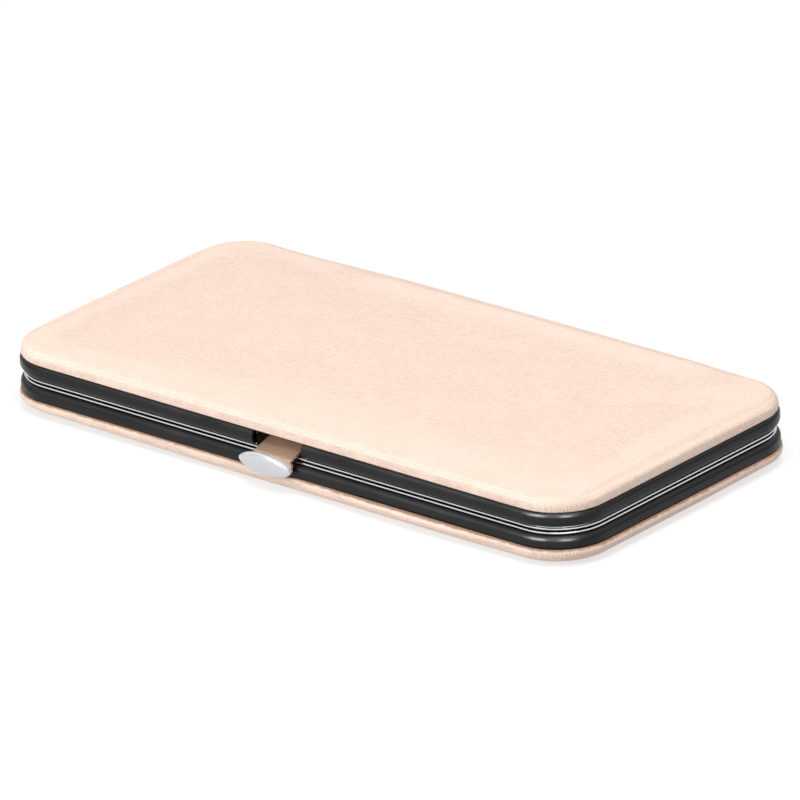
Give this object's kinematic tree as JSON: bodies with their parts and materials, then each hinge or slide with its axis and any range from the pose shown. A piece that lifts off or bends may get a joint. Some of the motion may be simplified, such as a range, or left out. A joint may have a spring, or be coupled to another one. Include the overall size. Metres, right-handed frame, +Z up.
{
  "type": "manicure set case",
  "caption": "Slim hinged manicure case with padded leatherette covers, black metal frames, bright beads, a sprung oval lift latch and tools under a strap.",
  "frame": {"origin": "middle of the frames' plan on the underside of the bottom cover, where the case rests", "axes": "+X along the case to the right as seen from the latch, +Y from the latch to the hinges, +Z up through the lid"},
  "size_m": [0.18, 0.0935, 0.0174],
  "materials": {
    "leatherette": "fine-grained, matt",
    "cover_foam": "open foam, hidden",
    "greyboard": "pressed board, hidden",
    "black_lacquer": "satin black lacquer",
    "bright_nickel": "bright plated sheet",
    "lining_cloth": "flocked cloth",
    "strap_leatherette": "fine-grained, matt, edge stitched",
    "tool_steel": "satin ground stainless steel",
    "polished_steel": "polished stainless steel",
    "file_steel": "cross-cut plated steel",
    "handle_plastic": "moulded, glossy",
    "spring_steel": "blued spring strip"
  },
  "bodies": {
    "base": {"bottom_cover_skin": "leatherette", "bottom_cover_foam": "cover_foam", "bottom_cover_board": "greyboard", "lower_frame": "black_lacquer", "lower_rim": "bright_nickel", "base_lining_card": "greyboard", "base_lining": "lining_cloth", "base_hinge_leaf_left": "bright_nickel", "base_hinge_leaf_right": "bright_nickel", "hinge_pin_left": "bright_nickel", "hinge_pin_right": "bright_nickel", "base_hinge_rivets": "bright_nickel", "tool_strap": "strap_leatherette", "strap_rivets": "bright_nickel", "cuticle_pusher": "tool_steel", "cuticle_trimmer_handle": "handle_plastic", "cuticle_trimmer_blade": "tool_steel", "nail_file_handle": "handle_plastic", "nail_file_blade": "file_steel", "tweezers_lower_arm": "tool_steel", "tweezers_upper_arm": "tool_steel", "clipper_lower_jaw": "polished_steel", "clipper_upper_jaw": "polished_steel", "clipper_lever": "polished_steel", "clipper_pin": "polished_steel", "clipper_rivet": "polished_steel", "toe_clipper_lower_jaw": "polished_steel", "toe_clipper_upper_jaw": "polished_steel", "toe_clipper_lever": "polished_steel", "toe_clipper_pin": "polished_steel", "toe_clipper_rivet": "polished_steel", "scissors_lower_half": "tool_steel", "scissors_screw": "polished_steel"},
    "lid": {"top_cover_skin": "leatherette", "top_cover_foam": "cover_foam", "top_cover_board": "greyboard", "upper_frame": "black_lacquer", "upper_rim": "bright_nickel", "lid_lining_card": "greyboard", "lid_lining": "lining_cloth", "lid_hinge_leaf_left": "bright_nickel", "lid_hinge_leaf_right": "bright_nickel", "lid_hinge_rivets": "bright_nickel", "latch_bracket": "bright_nickel", "latch_bracket_rivets": "bright_nickel", "latch_pivot_pin": "bright_nickel", "latch_spring": "spring_steel"},
    "latch": {"latch_tongue": "bright_nickel", "thumb_plate": "bright_nickel", "thumb_plate_rivets": "bright_nickel"},
    "scissors_arm": {"scissors_upper_half": "tool_steel"}
  },
  "joints": [
    {"name": "lid_hinge", "type": "hinge", "parent": "base", "child": "lid", "pos_m": [0, 0.04475, 0.0087], "axis": [-1, 0, 0], "range_deg": [0, 180]},
    {"name": "latch_lift", "type": "hinge", "parent": "lid", "child": "latch", "pos_m": [0, -0.0383, 0.011], "axis": [-1, 0, 0], "range_deg": [0, 15], "stiffness_Nm_per_rad": 0.02, "springref_deg": -11.46, "deforming": ["latch_spring"]},
    {"name": "scissors_pivot", "type": "hinge", "parent": "base", "child": "scissors_arm", "pos_m": [0.0468, -0.01085, 0.0064], "axis": [0, 0, -1], "range_deg": [0, 20]}
  ]
}
